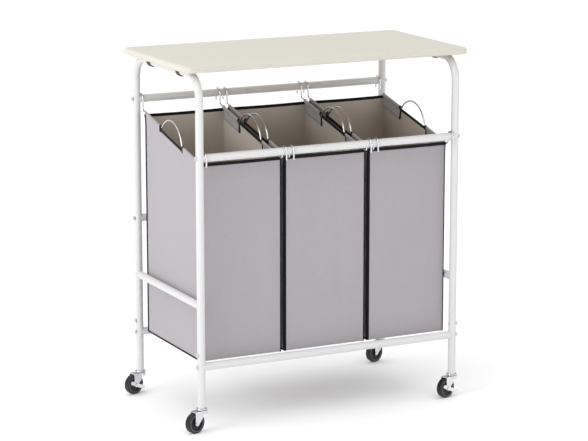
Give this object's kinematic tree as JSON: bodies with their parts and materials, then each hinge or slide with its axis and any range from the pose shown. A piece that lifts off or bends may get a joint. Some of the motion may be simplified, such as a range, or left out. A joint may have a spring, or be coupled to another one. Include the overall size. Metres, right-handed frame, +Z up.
{
  "type": "laundry sorter on wheels",
  "caption": "Rolling laundry sorter: lift-out fabric bags hang from sloping rods in a tube frame on swivel casters, under a padded ironing board top.",
  "frame": {"origin": "on the floor, midway between the four legs", "axes": "+Z up, +X to the right of a person who faces the loading side, which is on -Y"},
  "size_m": [0.7675, 0.4144, 0.878],
  "materials": {
    "white_tube": "satin white powder coat",
    "insert_plastic": "matte",
    "screw_steel": "zinc plated",
    "board_wood": "raw fibreboard",
    "pad_felt": "grey-white felt",
    "board_cotton": "plain cream cotton",
    "clip_plastic": "matte black",
    "socket_plastic": "matte",
    "caster_chrome": "bright plated",
    "wheel_black": "moulded black",
    "brake_steel": "bright zinc",
    "bag_cloth": "warm grey woven polyester with a taupe coated inside",
    "bag_tape": "black woven edge tape",
    "base_board": "stiff board",
    "rod_metal": "bright drawn wire"
  },
  "bodies": {
    "frame": {"upper_frame_left": "white_tube", "upper_frame_right": "white_tube", "side_rail_left": "white_tube", "side_rail_right": "white_tube", "lower_leg_front_left": "white_tube", "lower_leg_front_right": "white_tube", "lower_leg_rear_left": "white_tube", "lower_leg_rear_right": "white_tube", "front_top_rail": "white_tube", "front_bottom_rail": "white_tube", "rear_top_rail": "white_tube", "rear_middle_rail": "white_tube", "rear_bottom_rail": "white_tube", "rail_inserts": "insert_plastic", "rail_screws": "screw_steel", "leg_joint_screws": "screw_steel", "board_panel": "board_wood", "board_pad": "pad_felt", "board_cover": "board_cotton", "board_clips": "clip_plastic", "board_clip_screws": "screw_steel", "caster_sockets": "socket_plastic", "caster_balls": "screw_steel", "caster_front_left_stem": "caster_chrome", "caster_front_right_stem": "caster_chrome", "caster_rear_left_stem": "caster_chrome", "caster_rear_right_stem": "caster_chrome"},
    "caster_front_left": {"caster_front_left_fork": "caster_chrome", "caster_front_left_axle": "caster_chrome"},
    "wheel_front_left": {"caster_front_left_wheel": "wheel_black"},
    "caster_front_right": {"caster_front_right_fork": "caster_chrome", "caster_front_right_axle": "caster_chrome"},
    "wheel_front_right": {"caster_front_right_wheel": "wheel_black"},
    "brake_front_right": {"caster_front_right_brake": "brake_steel"},
    "caster_rear_left": {"caster_rear_left_fork": "caster_chrome", "caster_rear_left_axle": "caster_chrome"},
    "wheel_rear_left": {"caster_rear_left_wheel": "wheel_black"},
    "brake_rear_left": {"caster_rear_left_brake": "brake_steel"},
    "caster_rear_right": {"caster_rear_right_fork": "caster_chrome", "caster_rear_right_axle": "caster_chrome"},
    "wheel_rear_right": {"caster_rear_right_wheel": "wheel_black"},
    "bag_left": {"bag_left_shell": "bag_cloth", "bag_left_tape": "bag_tape", "bag_left_base": "base_board", "bag_left_rod_a": "rod_metal", "bag_left_rod_b": "rod_metal"},
    "bag_centre": {"bag_centre_shell": "bag_cloth", "bag_centre_tape": "bag_tape", "bag_centre_base": "base_board", "bag_centre_rod_a": "rod_metal", "bag_centre_rod_b": "rod_metal"},
    "bag_right": {"bag_right_shell": "bag_cloth", "bag_right_tape": "bag_tape", "bag_right_base": "base_board", "bag_right_rod_a": "rod_metal", "bag_right_rod_b": "rod_metal"}
  },
  "joints": [
    {"name": "caster_front_left_swivel", "type": "hinge", "parent": "frame", "child": "caster_front_left", "pos_m": [-0.343, -0.188, 0.055], "axis": [0, 0, 1], "continuous": true},
    {"name": "wheel_front_left_spin", "type": "hinge", "parent": "caster_front_left", "child": "wheel_front_left", "pos_m": [-0.36392, -0.1948, 0.025], "axis": [0.309, -0.9511, 0], "continuous": true},
    {"name": "caster_front_right_swivel", "type": "hinge", "parent": "frame", "child": "caster_front_right", "pos_m": [0.343, -0.188, 0.055], "axis": [0, 0, 1], "continuous": true},
    {"name": "wheel_front_right_spin", "type": "hinge", "parent": "caster_front_right", "child": "wheel_front_right", "pos_m": [0.32208, -0.1948, 0.025], "axis": [0.309, -0.9511, 0], "continuous": true},
    {"name": "brake_front_right_tip", "type": "hinge", "parent": "caster_front_right", "child": "brake_front_right", "pos_m": [0.32208, -0.1948, 0.025], "axis": [0.309, -0.9511, 0], "range_deg": [0, 25]},
    {"name": "caster_rear_left_swivel", "type": "hinge", "parent": "frame", "child": "caster_rear_left", "pos_m": [-0.343, 0.188, 0.055], "axis": [0, 0, 1], "continuous": true},
    {"name": "wheel_rear_left_spin", "type": "hinge", "parent": "caster_rear_left", "child": "wheel_rear_left", "pos_m": [-0.36392, 0.1812, 0.025], "axis": [0.309, -0.9511, 0], "continuous": true},
    {"name": "brake_rear_left_tip", "type": "hinge", "parent": "caster_rear_left", "child": "brake_rear_left", "pos_m": [-0.36392, 0.1812, 0.025], "axis": [0.309, -0.9511, 0], "range_deg": [0, 25]},
    {"name": "caster_rear_right_swivel", "type": "hinge", "parent": "frame", "child": "caster_rear_right", "pos_m": [0.343, 0.188, 0.055], "axis": [0, 0, 1], "continuous": true},
    {"name": "wheel_rear_right_spin", "type": "hinge", "parent": "caster_rear_right", "child": "wheel_rear_right", "pos_m": [0.32208, 0.1812, 0.025], "axis": [0.309, -0.9511, 0], "continuous": true},
    {"name": "bag_left_lift", "type": "slide", "parent": "frame", "child": "bag_left", "axis": [0, 0, 1], "range_m": [0, 0.06]},
    {"name": "bag_centre_lift", "type": "slide", "parent": "frame", "child": "bag_centre", "axis": [0, 0, 1], "range_m": [0, 0.06]},
    {"name": "bag_right_lift", "type": "slide", "parent": "frame", "child": "bag_right", "axis": [0, 0, 1], "range_m": [0, 0.06]}
  ]
}
